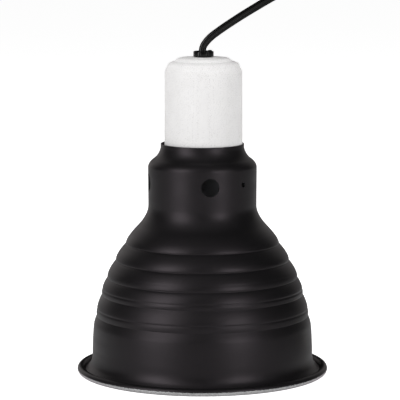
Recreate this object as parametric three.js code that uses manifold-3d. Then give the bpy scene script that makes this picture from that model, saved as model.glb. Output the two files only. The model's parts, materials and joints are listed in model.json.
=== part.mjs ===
// Dome heat lamp fixture: a spun aluminium shade standing on its rim, a porcelain lampholder in its
// collar, and a flat twin mains cord with an inline switch, a coil and a plug.
// Millimetres, +Z up, origin at the centre of the rim's resting plane, -Y towards the front.
import * as THREE from 'three';
import { mergeVertices } from 'three/addons/utils/BufferGeometryUtils.js';
import Module from 'manifold-3d';

const wasm = await Module();
wasm.setup();

// ---------------------------------------------------------------------------------------- dimensions
const GAP = 0.3;                      // clearance kept between neighbouring pieces
const DEGREE = Math.PI / 180;

// Shade
const SHEET = 1.0;                    // wall of the spun sheet
const SHADE_SIDES = 36;
// Curled edge that the lamp stands on, flattened where it rests, and where round it the points lie.
const BEAD = { r: 67.9, z: 2.0, radius: 2.1, angles: [145, 110, 75, 38, 0, -38, -75, -105, -140] };
// Outside of the sheet from collar to gutter: radius, height, then the slope where the curve arrives
// and where it leaves, in degrees from straight down, outwards positive, and the steps that lead there.
const SHADE_STATIONS = [
  [23.10, 126.4, 14, 10, 0],          // collar, just under the lip
  [27.20, 119.75, 56, 56, 3],
  [30.20, 115.2, 1, 0, 3],            // top of the neck
  [30.10, 94.0, 0, 0, 1],             // foot of the neck
  [35.90, 82.35, 43, 43, 3],
  [42.75, 72.4, 27, 46, 2],           // five spun steps: notches, with the sheet rolling out between them
  [48.25, 63.0, 14, 42, 3],
  [52.95, 53.3, 8, 42, 3],
  [56.05, 44.0, -4, 38, 3],
  [58.65, 34.1, -4, 30, 3],
  [60.80, 26.5, 5.5, 5.5, 2],
  [61.50, 13.5, 2, 2, 1],             // skirt
  [63.20, 4.2, 38, 38, 2],
  [65.80, 2.05, 88, 88, 2],           // gutter
];
const CURVED_INSIDE = 2;              // stretches from the collar down whose inside is curved too
const SEAT = { z: 126.3, hole: 17.7, wall: 22.55 };  // inward flange that the porcelain sits on
const LIP = { r: 22.85, z: 128.0, radius: 0.3 };
const VENTS = { count: 4, radius: 5.0, z: 107.1, first: 8.3, step: 90 };
const SMALL_HOLES = { count: 2, radius: 1.5, z: 107.6, first: 48, step: 180 };

// Porcelain lampholder, clamped a little to the right in its collar
const HOLDER_X = 0.6;
const CHAMBER = { r: 18.7, z: 166.0 };    // wiring chamber inside the housing
const HOUSING = { r: 21.65, top_r: 21.4, bottom: SEAT.z + GAP, wall_top: 168.2 };
const CREASE = { r: 20.15, z: 171.0 };    // where the housing's rounded edge meets its shoulder
const CROWN = { r: 15.7, foot: 173.95, plateau: 175.95, boss: 176.2 };   // raised disc on the housing's top
const CORD_HOLE = 4.9;
const INSERT = { r: 18.3, neck_r: 16.6, bore: 14.3, mouth: 112.0, shoulder: 126.9, floor: 146.0, top: 153.0 };
const RECESS = { r: 6.9, depth: 1.6 };    // room above the centre contact
const COLUMNS = { r: 3.8, y: 9.5, bottom: INSERT.top + GAP };   // screw bosses under the housing's roof
const SHELL = { crest: 13.6, trough: 12.8, wall: 0.4, pitch: 3.63, turns: 7, top: 145.3, base_hole: 7.2 };
const RING = { inner: INSERT.neck_r + GAP, outer: 21.2, bottom: 118.6, top: 123.9, notches: 4 };
const WASHER_THICKNESS = 0.8;

// Terminals, and the height at which the two leads part
const LEADS_PART_Z = 163;
const TERMINAL_X = 14.0;
const PLATE = { width: 6.5, thickness: 0.8, z: INSERT.top + GAP };
const CONTACT_RIVET_X = -3.0;
const SHELL_RIVET_X = 8.8;

// Cord: flat twin lead
const CORD = { half_width: 2.65, half_thickness: 1.35 };
const CORD_WIDTH_AT_GLAND = [0.52, 0.854, 0];

// Inline switch, plug and coil on the unseen end of the cord
const SWITCH = { x: 179, y: 51, length: 54, half_width: 11.5, end_half_width: 5.5, height: 16 };
const WHEEL = { radius: 13.0, thickness: 4.6, axle: 2.0, teeth: 24 };
const COIL = { x: 196.5, y: -37, inner: 19.0, outer: 33.2, bottom: 0.9, top: 12.2 };
const TIE_WIDTH = 6;
const TAIL_TURN = 205 * DEGREE;       // where round the coil the tail leaves it
const TAIL = { radius: 30.5, length: 39.0, z: 9.3 };
const PLUG = { length: 30, width: 23, height: 15, boot: 13, z: 7.7 };
const BLADES = { spacing: 12.7, thickness: 1.5, length: 17.5, hot: 6.35, neutral: 7.9, root: 9 };

// ------------------------------------------------------------------------------------------ materials
function finish(color, roughness, metalness) {
  return new THREE.MeshStandardMaterial({ color, roughness, metalness });
}
const MATERIALS = {
  black_paint: finish(0x1d1c1d, 0.5, 0.1),
  porcelain: finish(0xe9e8e6, 0.75, 0.0),
  brass: finish(0xb58d4a, 0.35, 1.0),
  zinc: finish(0xb9bcc0, 0.35, 1.0),
  aluminium: finish(0xc9cbce, 0.4, 1.0),
  fibre: finish(0x5c3a2e, 0.85, 0.0),
  black_nylon: finish(0x161616, 0.45, 0.0),
  black_pvc: finish(0x1b191a, 0.4, 0.0),
  hot_lead: finish(0x141414, 0.5, 0.0),
  neutral_lead: finish(0xe2e0da, 0.5, 0.0),
};

// -------------------------------------------------------------------------------------------- helpers
const fixture = new THREE.Group();
const holder = new THREE.Group();
holder.position.x = HOLDER_X;
fixture.add(holder);

/** Vertices merged, degenerate triangles dropped, faces pointing out. */
function closed(geometry) {
  const bare = geometry.clone();
  bare.deleteAttribute('normal');
  bare.deleteAttribute('uv');
  const merged = mergeVertices(bare, 1e-4);
  const at = merged.attributes.position;
  const kept = [];
  let volume = 0;
  const corner = [new THREE.Vector3(), new THREE.Vector3(), new THREE.Vector3()];
  for (let i = 0; i < merged.index.count; i += 3) {
    const ids = [0, 1, 2].map((k) => merged.index.getX(i + k));
    if (new Set(ids).size < 3) continue;
    kept.push(...ids);
    corner.forEach((c, k) => c.fromBufferAttribute(at, ids[k]));
    volume += corner[0].dot(corner[1].cross(corner[2]));
  }
  if (volume < 0) kept.reverse();
  merged.setIndex(kept);
  merged.computeVertexNormals();
  return merged;
}

/** A closed geometry as a solid that can be joined and cut. */
function solid(geometry) {
  const shape = closed(geometry);
  const vertProperties = new Float32Array(shape.attributes.position.array);
  const triVerts = new Uint32Array(shape.index.array);
  return new wasm.Manifold(new wasm.Mesh({ numProp: 3, vertProperties, triVerts }));
}

/** The geometry of a solid. */
function surface(body) {
  const mesh = body.getMesh();
  const geometry = new THREE.BufferGeometry();
  geometry.setAttribute('position', new THREE.Float32BufferAttribute(mesh.vertProperties, 3));
  geometry.setIndex(Array.from(mesh.triVerts));
  geometry.computeVertexNormals();
  return geometry;
}

/** A geometry with others joined on and others cut away. */
function carved(base, cuts, joins = []) {
  let body = solid(base);
  for (const join of joins) body = body.add(solid(join));
  for (const cut of cuts) body = body.subtract(solid(cut));
  return surface(body);
}

function add(name, material, geometry, parent = fixture) {
  const mesh = new THREE.Mesh(closed(geometry), MATERIALS[material]);
  mesh.name = name;
  parent.add(mesh);
  return mesh;
}

/** A profile of [radius, height] turned about the Z axis. */
function turned(profile, sides) {
  const points = profile.map(([r, z]) => new THREE.Vector2(r, z));
  return new THREE.LatheGeometry(points, sides).rotateX(Math.PI / 2);
}

/** A ring of rectangular section about the Z axis. */
function ring(inner, outer, bottom, top, sides) {
  return turned([[inner, bottom], [outer, bottom], [outer, top], [inner, top], [inner, bottom]], sides);
}

/** An upright cylinder from bottom to top. */
function post(radius, bottom, top, x = 0, y = 0, sides = 16) {
  const shape = new THREE.CylinderGeometry(radius, radius, top - bottom, sides).rotateX(Math.PI / 2);
  return shape.translate(x, y, (top + bottom) / 2);
}

/** A box given by its lowest and highest corners. */
function block([x0, y0, z0], [x1, y1, z1]) {
  const box = new THREE.BoxGeometry(x1 - x0, y1 - y0, z1 - z0);
  return box.translate((x0 + x1) / 2, (y0 + y1) / 2, (z0 + z1) / 2);
}

/** A level peg pointing outwards through the wall at an azimuth counted from the front towards +X. */
function peg({ radius, z }, azimuth, sides) {
  const shape = new THREE.CylinderGeometry(radius, radius, 20, sides);
  return shape.translate(0, -30, 0).rotateZ(azimuth * DEGREE).translate(0, 0, z);
}

/** A pan-head screw or a rivet: a shank and a low domed head at one end of it. */
function headed({ shank, head, from, to, thickness, x = 0, y = 0, sides = 12 }) {
  const up = Math.sign(to - from);
  const profile = [
    [0, to], [shank, to], [shank, from], [head, from], [head, from - up * thickness * 0.5],
    [head * 0.7, from - up * thickness], [0, from - up * thickness],
  ];
  return turned(profile, sides).translate(x, y, 0);
}

/** A slot across a screw's head. */
function slot(x, y, z, length, depth) {
  return block([x - length / 2, y - 0.4, z - depth], [x + length / 2, y + 0.4, z + depth]);
}

/** A smooth route whose flat section keeps the width directions that its points state. */
class FlatRoute extends THREE.CatmullRomCurve3 {
  constructor(points, widths) {
    super(points.map((p) => new THREE.Vector3(...p)), false, 'catmullrom', 0.5);
    this.widths = widths.map(([at, way]) => [at, new THREE.Vector3(...way)]);
  }

  /** The width direction at a share of the route, square to the tangent. */
  widthAt(t, tangent) {
    const place = t * (this.points.length - 1);
    const after = Math.max(this.widths.findIndex(([at]) => at >= place), 1);
    const [start, from] = this.widths[after - 1];
    const [end, to] = this.widths[after];
    const way = from.clone().lerp(to, THREE.MathUtils.clamp((place - start) / (end - start), 0, 1));
    return way.addScaledVector(tangent, -way.dot(tangent)).normalize();
  }

  computeFrenetFrames(segments) {
    const frames = { tangents: [], normals: [], binormals: [] };
    for (let k = 0; k <= segments; k += 1) {
      const share = this.getUtoTmapping(k / segments);
      const tangent = this.getTangent(share);
      const normal = this.widthAt(share, tangent);
      frames.tangents.push(tangent);
      frames.normals.push(normal);
      frames.binormals.push(tangent.clone().cross(normal));
    }
    return frames;
  }
}

// ---------------------------------------------------------------------------------------------- shade
/** The point at a distance along a slope that is counted from straight down, outwards positive. */
function along(point, slope, distance) {
  const angle = slope * DEGREE;
  return new THREE.Vector2(point.x + distance * Math.sin(angle), point.y - distance * Math.cos(angle));
}

/** The sheet's outside and inside, sampled from collar to gutter. */
function sheetOutlines() {
  const outside = [];
  const inside = [];
  SHADE_STATIONS.forEach(([r, z, arriving, , steps], i) => {
    const to = new THREE.Vector2(r, z);
    const [r0, z0, , leaving] = SHADE_STATIONS[Math.max(i - 1, 0)];
    const from = new THREE.Vector2(r0, z0);
    const reach = from.distanceTo(to) / 3;
    const curve = new THREE.CubicBezierCurve(
      from, along(from, leaving, reach), along(to, arriving, -reach), to);
    if (steps === 0) outside.push([r, z]);
    for (let k = 1; k <= steps; k += 1) {
      const at = curve.getPoint(k / steps);
      const way = curve.getTangent(k / steps);
      outside.push([at.x, at.y]);
      const needed = k === steps || i <= CURVED_INSIDE;
      if (needed) inside.push([at.x + SHEET * way.y, at.y - SHEET * way.x]);
    }
  });
  return { outside, inside };
}

function shade() {
  const { outside, inside } = sheetOutlines();
  const bead = BEAD.angles.map((angle) => [
    BEAD.r + BEAD.radius * Math.cos(angle * DEGREE),
    Math.max(BEAD.z + BEAD.radius * Math.sin(angle * DEGREE), 0)]);
  const lip = [0, 90, 180].map((angle) => [
    LIP.r - LIP.radius * Math.cos(angle * DEGREE), LIP.z + LIP.radius * Math.sin(angle * DEGREE)]);
  const under = SEAT.z - SHEET;
  const seat = [[22.6, under], [SEAT.hole, under], [SEAT.hole, SEAT.z], [SEAT.wall, SEAT.z]];
  const profile = [...outside, ...bead, ...inside.reverse(), ...seat, ...lip, outside[0]];
  const holes = [];
  for (const set of [VENTS, SMALL_HOLES]) {
    for (let k = 0; k < set.count; k += 1) holes.push(peg(set, set.first + k * set.step, 16));
  }
  add('reflector_shade', 'black_paint', carved(turned(profile, SHADE_SIDES), holes));
}

// ---------------------------------------------------------------------------------- porcelain and socket
function housing() {
  const { r, top_r: topR, bottom, wall_top: wallTop } = HOUSING;
  const { plateau, boss } = CROWN;
  const shoulder = new THREE.CubicBezierCurve(
    new THREE.Vector2(CREASE.r, CREASE.z), new THREE.Vector2(CREASE.r - 0.2, CREASE.z + 1.2),
    new THREE.Vector2(CREASE.r - 1.1, CROWN.foot - 0.5), new THREE.Vector2(CROWN.r + 0.4, CROWN.foot));
  const profile = [
    [CHAMBER.r, bottom], [r - 0.4, bottom], [r, bottom + 0.4], [topR, wallTop], [topR - 0.35, wallTop + 1.4],
    ...shoulder.getPoints(4).map((p) => [p.x, p.y]),
    [CROWN.r, CROWN.foot + 0.4], [CROWN.r - 0.7, plateau - 0.9], [CROWN.r - 1.8, plateau - 0.25],
    [CROWN.r - 3.4, plateau], [7.4, plateau], [7.0, boss], [CORD_HOLE, boss],
    [CORD_HOLE, CHAMBER.z], [CHAMBER.r - 2.5, CHAMBER.z], [CHAMBER.r, CHAMBER.z - 2.5],
    [CHAMBER.r, bottom],
  ];
  const columns = [-1, 1].map((side) => post(COLUMNS.r, COLUMNS.bottom, CHAMBER.z + 1, 0, side * COLUMNS.y));
  const bores = [-1, 1].map((side) => post(1.8, COLUMNS.bottom - 1, 163.3, 0, side * COLUMNS.y, 10));
  add('porcelain_housing', 'porcelain', carved(turned(profile, 32), bores, columns), holder);
}

function insert() {
  const { r, neck_r: neck, bore, mouth, shoulder, floor, top } = INSERT;
  const profile = [
    [0, floor + RECESS.depth], [RECESS.r, floor + RECESS.depth], [RECESS.r, floor], [bore, floor],
    [bore, mouth + 1], [bore + 0.8, mouth], [neck - 0.5, mouth], [neck, mouth + 0.5], [neck, shoulder],
    [r, shoulder], [r, top], [0, top],
  ];
  const holes = [
    post(1.5, floor, top + 1, CONTACT_RIVET_X, 0, 10),
    post(1.5, floor - 1, top + 1, SHELL_RIVET_X, 0, 10),
    ...[-1, 1].map((side) => post(1.8, floor - 1, top + 1, 0, side * COLUMNS.y, 10)),
    ...[-1, 1].map((side) => post(1.7, top - 5, top + 1, side * TERMINAL_X, 0, 10)),
  ];
  add('socket_insert', 'porcelain', carved(turned(profile, 28), holes), holder);
}

function screwShell() {
  const { crest, trough, wall, pitch, turns, top, base_hole: hole } = SHELL;
  const outside = [];
  for (let k = 0; k < turns * 2; k += 1) outside.push([k % 2 ? trough : crest, top - 1.2 - (k * pitch) / 2]);
  const inside = outside.map(([r, z]) => [r - wall, z]).reverse();
  const profile = [
    [hole, top], [crest - 0.4, top], ...outside, ...inside, [crest - 1.2, top - wall],
    [hole, top - wall], [hole, top],
  ];
  const holes = [
    post(1.6, top - 2, top + 2, SHELL_RIVET_X, 0, 10),
    ...[-1, 1].map((side) => post(1.9, top - 2, top + 2, 0, side * COLUMNS.y, 10)),
  ];
  add('screw_shell', 'brass', carved(turned(profile, 24), holes), holder);
}

/** Spring leaf: a flat root on the rivet, folded back under itself to a nose on the lamp's axis. */
function centreContact() {
  const points = [
    [-5.6, 145.4], [-2.5, 145.4], [1.0, 145.4], [3.8, 144.4], [4.4, 142.2], [2.8, 140.0], [0.0, 139.2],
    [-2.8, 139.9],
  ].map(([x, z]) => [x, 0, z]);
  const route = new FlatRoute(points, [[0, [0, 1, 0]], [points.length - 1, [0, 1, 0]]]);
  const strip = new THREE.Shape([[-2.5, -0.25], [2.5, -0.25], [2.5, 0.25], [-2.5, 0.25]]
    .map(([x, y]) => new THREE.Vector2(x, y)));
  const leaf = new THREE.ExtrudeGeometry(strip, { steps: 18, extrudePath: route });
  add('centre_contact', 'brass', carved(leaf, [post(1.5, 144, 147, CONTACT_RIVET_X, 0, 10)]), holder);
}

function terminals() {
  const { width, thickness, z } = PLATE;
  const sets = [
    { name: 'hot', side: -1, rivet: CONTACT_RIVET_X, inner: 0.5, seam: 144.8 },
    { name: 'neutral', side: 1, rivet: SHELL_RIVET_X, inner: 6.0, seam: SHELL.top - SHELL.wall - GAP },
  ];
  for (const { name, side, rivet, inner, seam } of sets) {
    const ends = [side === 1 ? inner : inner - 0.5, side * (TERMINAL_X + 2.8)].sort((a, b) => a - b);
    const plate = block([ends[0], -width / 2, z], [ends[1], width / 2, z + thickness]);
    const holes = [post(1.5, z - 1, z + 2, rivet, 0, 10), post(1.8, z - 1, z + 2, side * TERMINAL_X, 0, 10)];
    add(`terminal_plate_${name}`, 'brass', carved(plate, holes), holder);
    const head = z + thickness + GAP;
    const shank = headed({ shank: 1.1, head: 1.9, from: seam, to: head, thickness: 0.5, x: rivet });
    const closing = headed({ shank: 1.1, head: 1.9, from: head, to: seam + 1, thickness: 0.6, x: rivet });
    add(name === 'hot' ? 'contact_rivet' : 'shell_rivet', 'brass', carved(shank, [], [closing]), holder);

    const lugTop = head + 0.6;
    const eye = ring(1.8, 2.7, head, lugTop, 14).translate(side * TERMINAL_X, 0, 0);
    const barrel = new THREE.CylinderGeometry(1.25, 1.25, 3.7, 10);
    barrel.translate(side * TERMINAL_X, side * -4.8, head + 1.3);
    const tang = block([-1, -3.6, head], [1, -2.2, lugTop]).rotateZ(side < 0 ? Math.PI : 0);
    tang.translate(side * TERMINAL_X, 0, 0);
    add(`lead_lug_${name}`, 'zinc', carved(eye, [], [barrel, tang]), holder);
    const screwHead = lugTop + GAP;
    const screw = headed({
      shank: 1.4, head: 2.5, from: screwHead, to: INSERT.top - 4.5, thickness: 1.7, x: side * TERMINAL_X });
    const cut = slot(side * TERMINAL_X, 0, screwHead + 1.7, 6, 0.7);
    add(`terminal_screw_${name}`, name === 'hot' ? 'brass' : 'zinc', carved(screw, [cut]), holder);
  }
}

function housingScrews() {
  [['front', -1], ['back', 1]].forEach(([name, side]) => {
    const y = side * COLUMNS.y;
    const from = SHELL.top - SHELL.wall - GAP;
    const screw = headed({ shank: 1.5, head: 2.6, from, to: 163, thickness: 1.8, y });
    add(`housing_screw_${name}`, 'zinc', carved(screw, [slot(0, y, from - 1.8, 6, 0.8)]), holder);
  });
}

/** The shade's clamping ring and its washer: the ring turns on the insert's neck under the seat. */
function retainingRing() {
  const { inner, outer, bottom, top, notches } = RING;
  const cuts = [];
  for (let k = 0; k < notches; k += 1) {
    const cut = block([outer - 1.8, -2.5, bottom - 1], [outer + 1, 2.5, top - 1.6]);
    cuts.push(cut.rotateZ((k * 360 * DEGREE) / notches));
  }
  add('retaining_ring', 'aluminium', carved(ring(inner, outer, bottom, top, 28), cuts), holder);
  const washerTop = SEAT.z - SHEET - GAP;
  add('fibre_washer', 'fibre', ring(inner, outer, washerTop - WASHER_THICKNESS, washerTop, 28), holder);
}

// ----------------------------------------------------------------------------------------------- cord
/** A flat twin cord's section: eight sides, wider than thick. */
function cordSection(halfWidth, halfThickness) {
  const corner = halfThickness * 0.55;
  const quarter = [[halfWidth, halfThickness - corner], [halfWidth - corner, halfThickness]];
  const points = [
    ...quarter, ...quarter.map(([x, y]) => [-x, y]).reverse(),
    ...quarter.map(([x, y]) => [-x, -y]), ...quarter.map(([x, y]) => [x, -y]).reverse(),
  ];
  return new THREE.Shape(points.map(([x, y]) => new THREE.Vector2(x, y)));
}

function flatCord(points, widths, steps, scale = 1) {
  const section = cordSection(CORD.half_width * scale, CORD.half_thickness * scale);
  return new THREE.ExtrudeGeometry(section, { steps, extrudePath: new FlatRoute(points, widths) });
}

function roundLead(points, radius, steps) {
  const circle = new THREE.Shape();
  circle.absarc(0, 0, radius, 0, Math.PI * 2);
  const route = new THREE.CatmullRomCurve3(points.map((p) => new THREE.Vector3(...p)));
  return new THREE.ExtrudeGeometry(circle, { steps, curveSegments: 4, extrudePath: route });
}

// From the strain relief: up and over to the right, down to the surface and into the switch.
const LEAD_ROUTE = [
  [0, 0, 179.7], [0.9, 0, 182.8], [4.3, 0, 186.9], [9.9, 0, 191.2], [15.5, 0, 195.0], [21.2, 0, 198.7],
  [26.9, 0, 202.2], [36, 0, 207.6], [46, 1, 212.9], [60, 5, 218.9], [75, 12, 222.6], [90, 21, 222.6],
  [104, 31, 217.8], [115, 39, 208.5], [121.8, 44.5, 196], [125.5, 48, 181], [127.3, 50, 162],
  [128, 51, 141], [128, 51, 119], [128, 51, 97], [128, 51, 75], [128, 51, 53], [128.3, 51, 35],
  [130.5, 51, 22], [136, 51, 12.8], [143, 51, 8.9], [SWITCH.x - SWITCH.length / 2 - GAP, 51, 8],
];
const LEAD_WIDTHS = [
  [0, CORD_WIDTH_AT_GLAND], [2, [0.47, 0.76, -0.43]], [7, [0.38, 0.70, -0.60]], [11, [-0.3, 0.85, -0.3]],
  [14, [-0.45, 0.89, 0]], [18, [-0.2, 0.98, 0]], [22, [0, 1, 0]], [26, [0, 1, 0]],
];
// From the switch round to the coil's outermost turn, rolling on to its edge.
const LINK_ROUTE = [
  [SWITCH.x + SWITCH.length / 2 + GAP, 51, 8], [209.6, 51, 7.2], [215.5, 49.6, 5.6], [221.5, 45.6, 4.4],
  [226, 39.2, 3.8], [228, 31, 3.6], [228.6, 20, 3.6], [228.6, 6, 3.7], [228.5, -8, 3.7],
  [228.4, -23, 3.7],
];
const LINK_WIDTHS = [[0, [0, 1, 0]], [3, [0.6, 0.7, 0.4]], [6, [0.2, 0, 1]], [9, [0, 0, 1]]];

function innerWiring() {
  const width = [[0, CORD_WIDTH_AT_GLAND], [2, CORD_WIDTH_AT_GLAND]];
  add('cord_entry', 'black_pvc', flatCord([[0, 0, 178.9], [0, 0, 173.5], [0, 0, 168]], width, 3));
  // Each lead leaves its half of the cord, passes a screw column and turns back into its lug.
  const route = [
    [0.69, 1.13, 167.7], [0.69, 1.13, 165.6], [0.72, 1.2, 163.2], [-0.6, 3.3, 161.0],
    [-5.1, 6.6, 159.7], [-9.0, 10.2, 158.6], [-13.0, 11.2, 157.2], [-14.2, 9.4, 156.0], [-TERMINAL_X, 6.95, 155.7],
  ];
  [['hot', 1], ['neutral', -1]].forEach(([name, turn]) => {
    const points = route.map(([x, y, z]) => [turn * x + (z < LEADS_PART_Z ? HOLDER_X : 0), turn * y, z]);
    add(`lead_${name}`, `${name}_lead`, roundLead(points, 1.1, 14));
  });
}

/** Strain relief bushing: a stem through the housing's roof, a round head and a wedge in its front. */
function strainRelief() {
  const bottom = CROWN.boss + GAP;
  const top = bottom + 2.95;
  const profile = [
    [0, 162.9], [4.3, 162.9], [5.3, 164.6], [5.3, 165.4], [4.6, CHAMBER.z - GAP], [4.6, bottom],
    [5.2, bottom], [5.65, bottom + 0.4], [5.65, top - 0.4], [5.2, top], [0, top],
  ];
  const slotWidth = new THREE.Vector3(...CORD_WIDTH_AT_GLAND);
  const passage = new THREE.BoxGeometry(2 * (CORD.half_width + GAP), 2 * (CORD.half_thickness + GAP), 60);
  passage.rotateZ(Math.atan2(slotWidth.y, slotWidth.x)).translate(-HOLDER_X, 0, 170);
  const wedgeRoom = block([-2.3, -7, bottom - 0.01], [2.3, -3.9, top + 1]);
  const knob = block([2.5, -0.6, top - 0.5], [4.6, 2.6, top + 0.5]);
  add('strain_relief_body', 'black_nylon', carved(turned(profile, 28), [wedgeRoom, passage], [knob]), holder);
  const wedge = block([-2.0, -5.5, bottom + 0.1], [2.0, -4.2, top - 0.25]);
  add('strain_relief_wedge', 'black_nylon', wedge, holder);
}

// --------------------------------------------------------------------------------------- inline switch
function switchOutline() {
  const half = SWITCH.length / 2;
  const { half_width: wide, end_half_width: narrow } = SWITCH;
  const outline = new THREE.Shape();
  outline.moveTo(-half, -narrow);
  outline.bezierCurveTo(-half * 0.75, -wide, -half * 0.45, -wide, 0, -wide);
  outline.bezierCurveTo(half * 0.45, -wide, half * 0.75, -wide, half, -narrow);
  outline.lineTo(half, narrow);
  outline.bezierCurveTo(half * 0.75, wide, half * 0.45, wide, 0, wide);
  outline.bezierCurveTo(-half * 0.45, wide, -half * 0.75, wide, -half, narrow);
  outline.closePath();
  return outline;
}

function inlineSwitch() {
  const group = new THREE.Group();
  group.position.set(SWITCH.x, SWITCH.y, 0);
  fixture.add(group);
  const middle = SWITCH.height / 2;
  const bevel = 2;
  const whole = new THREE.ExtrudeGeometry(switchOutline(), {
    depth: SWITCH.height - 2 * bevel, bevelThickness: bevel, bevelSize: bevel, bevelOffset: -bevel,
    bevelSegments: 2, curveSegments: 4, steps: 1,
  }).translate(0, 0, bevel);
  const reach = SWITCH.length;
  const below = block([-reach, -reach, -1], [reach, reach, middle - GAP / 2]);
  const above = block([-reach, -reach, middle + GAP / 2], [reach, reach, SWITCH.height + 1]);
  const wheelHalf = WHEEL.thickness / 2 + GAP;
  const wheelRoom = post(WHEEL.radius + 0.6, middle - wheelHalf, middle + wheelHalf, 0, 0, 32);
  const channel = block([-reach, -3, middle - 1.7], [reach, 3, middle + 1.7]);
  const screwX = 20.5;
  const screwTop = SWITCH.height - 1.5;
  const screwHole = post(1.5, 3, SWITCH.height + 1, screwX, 0, 10);
  const screwSink = post(3.0, screwTop - 1.8, SWITCH.height + 1, screwX, 0, 14);
  const halves = { base: below, cover: above };
  for (const [name, half] of Object.entries(halves)) {
    let body = solid(whole).intersect(solid(half));
    for (const cut of [wheelRoom, channel, screwHole, screwSink]) body = body.subtract(solid(cut));
    if (name === 'base') body = body.add(solid(post(WHEEL.axle, 4, middle + wheelHalf - 0.1, 0, 0, 14)));
    add(`switch_${name}`, 'black_nylon', surface(body), group);
  }
  const screw = headed({ shank: 1.1, head: 2.5, from: screwTop - 1.4, to: 3.5, thickness: 1.2, x: screwX });
  add('switch_screw', 'zinc', carved(screw, [slot(screwX, 0, screwTop - 0.2, 6, 0.5)]), group);

  const rim = new THREE.Shape();
  for (let k = 0; k < WHEEL.teeth * 2; k += 1) {
    const angle = (k * Math.PI) / WHEEL.teeth;
    const r = k % 2 ? WHEEL.radius - 0.8 : WHEEL.radius;
    rim[k ? 'lineTo' : 'moveTo'](r * Math.cos(angle), r * Math.sin(angle));
  }
  rim.closePath();
  const bore = new THREE.Path();
  bore.absarc(0, 0, WHEEL.axle + GAP, 0, Math.PI * 2, true);
  rim.holes.push(bore);
  const wheel = new THREE.ExtrudeGeometry(rim, {
    depth: WHEEL.thickness, bevelEnabled: false, curveSegments: 14, steps: 1,
  }).translate(0, 0, middle - WHEEL.thickness / 2);
  add('switch_thumbwheel', 'black_nylon', wheel, group);

  [['in', -1], ['out', 1]].forEach(([name, side]) => {
    const ends = [side * 14.2, side * 17.8].sort((a, b) => a - b);
    const strip = block([ends[0], -2.2, middle - 0.4], [ends[1], 2.2, middle + 0.4]);
    add(`switch_contact_${name}`, 'brass', strip, group);
  });
}

// ------------------------------------------------------------------------------------- coil and plug
function coilAndTie() {
  const { inner, outer, bottom, top } = COIL;
  const round = 2.2;
  const profile = [
    [inner, bottom + round], [inner + round, bottom], [outer - round, bottom], [outer, bottom + round],
    [outer, top - round], [outer - round, top], [inner + round, top], [inner, top - round],
    [inner, bottom + round],
  ];
  const coil = add('cord_coil', 'black_pvc', turned(profile, 28));
  coil.position.set(COIL.x, COIL.y, 0);

  const wall = 0.5;
  const band = new THREE.Shape();
  const hole = new THREE.Path();
  const frames = [[band, GAP + wall], [hole, GAP]];
  for (const [path, grow] of frames) {
    const near = inner - TIE_WIDTH ** 2 / (8 * inner) - GAP - grow;
    const corners = [
      [near, bottom - grow], [outer + grow, bottom - grow], [outer + grow, top + grow], [near, top + grow]];
    corners.forEach(([x, z], i) => path[i ? 'lineTo' : 'moveTo'](x, z));
    path.closePath();
  }
  band.holes.push(hole);
  const tie = new THREE.ExtrudeGeometry(band, { depth: TIE_WIDTH, bevelEnabled: false, steps: 1 });
  tie.translate(0, 0, -TIE_WIDTH / 2).rotateX(Math.PI / 2).rotateZ(90 * DEGREE).translate(COIL.x, COIL.y, 0);
  add('coil_tie', 'black_nylon', tie);
}

function tailAndPlug() {
  const way = new THREE.Vector3(Math.sin(TAIL_TURN), -Math.cos(TAIL_TURN), 0);
  const leaving = new THREE.Vector3(
    COIL.x + TAIL.radius * Math.cos(TAIL_TURN), COIL.y + TAIL.radius * Math.sin(TAIL_TURN), TAIL.z);
  const clear = Math.sqrt((COIL.outer + CORD.half_thickness + 2 * GAP) ** 2 - TAIL.radius ** 2);
  const points = [clear, (clear + TAIL.length) / 2, TAIL.length].map((distance, k) => {
    const at = leaving.clone().addScaledVector(way, distance);
    return [at.x, at.y, TAIL.z + ((PLUG.z - TAIL.z) * k) / 2];
  });
  const across = [way.y, -way.x, 0];
  add('cord_tail', 'black_pvc', flatCord(points, [[0, [0, 0, 1]], [2, across]], 4));

  const group = new THREE.Group();
  const foot = leaving.clone().addScaledVector(way, TAIL.length + GAP);
  group.position.set(foot.x, foot.y, PLUG.z);
  group.rotation.z = Math.atan2(way.y, way.x);
  fixture.add(group);
  const { length, width, height, boot } = PLUG;
  const outline = new THREE.Shape();
  const inset = 1.8;
  outline.moveTo(boot, -4.5);
  outline.bezierCurveTo(boot + 8, -5, boot + 8, -width / 2 + inset, boot + 14, -width / 2 + inset);
  outline.lineTo(boot + length, -width / 2 + inset);
  outline.lineTo(boot + length, width / 2 - inset);
  outline.lineTo(boot + 14, width / 2 - inset);
  outline.bezierCurveTo(boot + 8, width / 2 - inset, boot + 8, 5, boot, 4.5);
  outline.closePath();
  const body = new THREE.ExtrudeGeometry(outline, {
    depth: height - 2 * inset, bevelThickness: inset, bevelSize: inset, bevelSegments: 2,
    curveSegments: 5, steps: 1,
  }).translate(0, 0, -height / 2 + inset);
  const taper = new THREE.CylinderGeometry(4.6, 3.3, boot + 2, 14).rotateZ(-Math.PI / 2);
  taper.translate((boot + 2) / 2, 0, 0);
  const face = boot + length + inset;
  const slots = [];
  [['hot', -1], ['neutral', 1]].forEach(([name, side]) => {
    const tall = BLADES[name] / 2;
    const y = (side * BLADES.spacing) / 2;
    const thin = BLADES.thickness / 2;
    slots.push(block([face - BLADES.root - GAP, y - thin - GAP, -tall - GAP], [face + 1, y + thin + GAP, tall + GAP]));
    const blade = block([face - BLADES.root, y - thin, -tall], [face + BLADES.length, y + thin, tall]);
    const eye = new THREE.CylinderGeometry(1.5, 1.5, 6, 12).translate(face + BLADES.length - 4.5, y, 0);
    add(`plug_blade_${name}`, 'brass', carved(blade, [eye]), group);
  });
  add('plug_body', 'black_pvc', carved(body, slots, [taper]), group);
}

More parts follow.
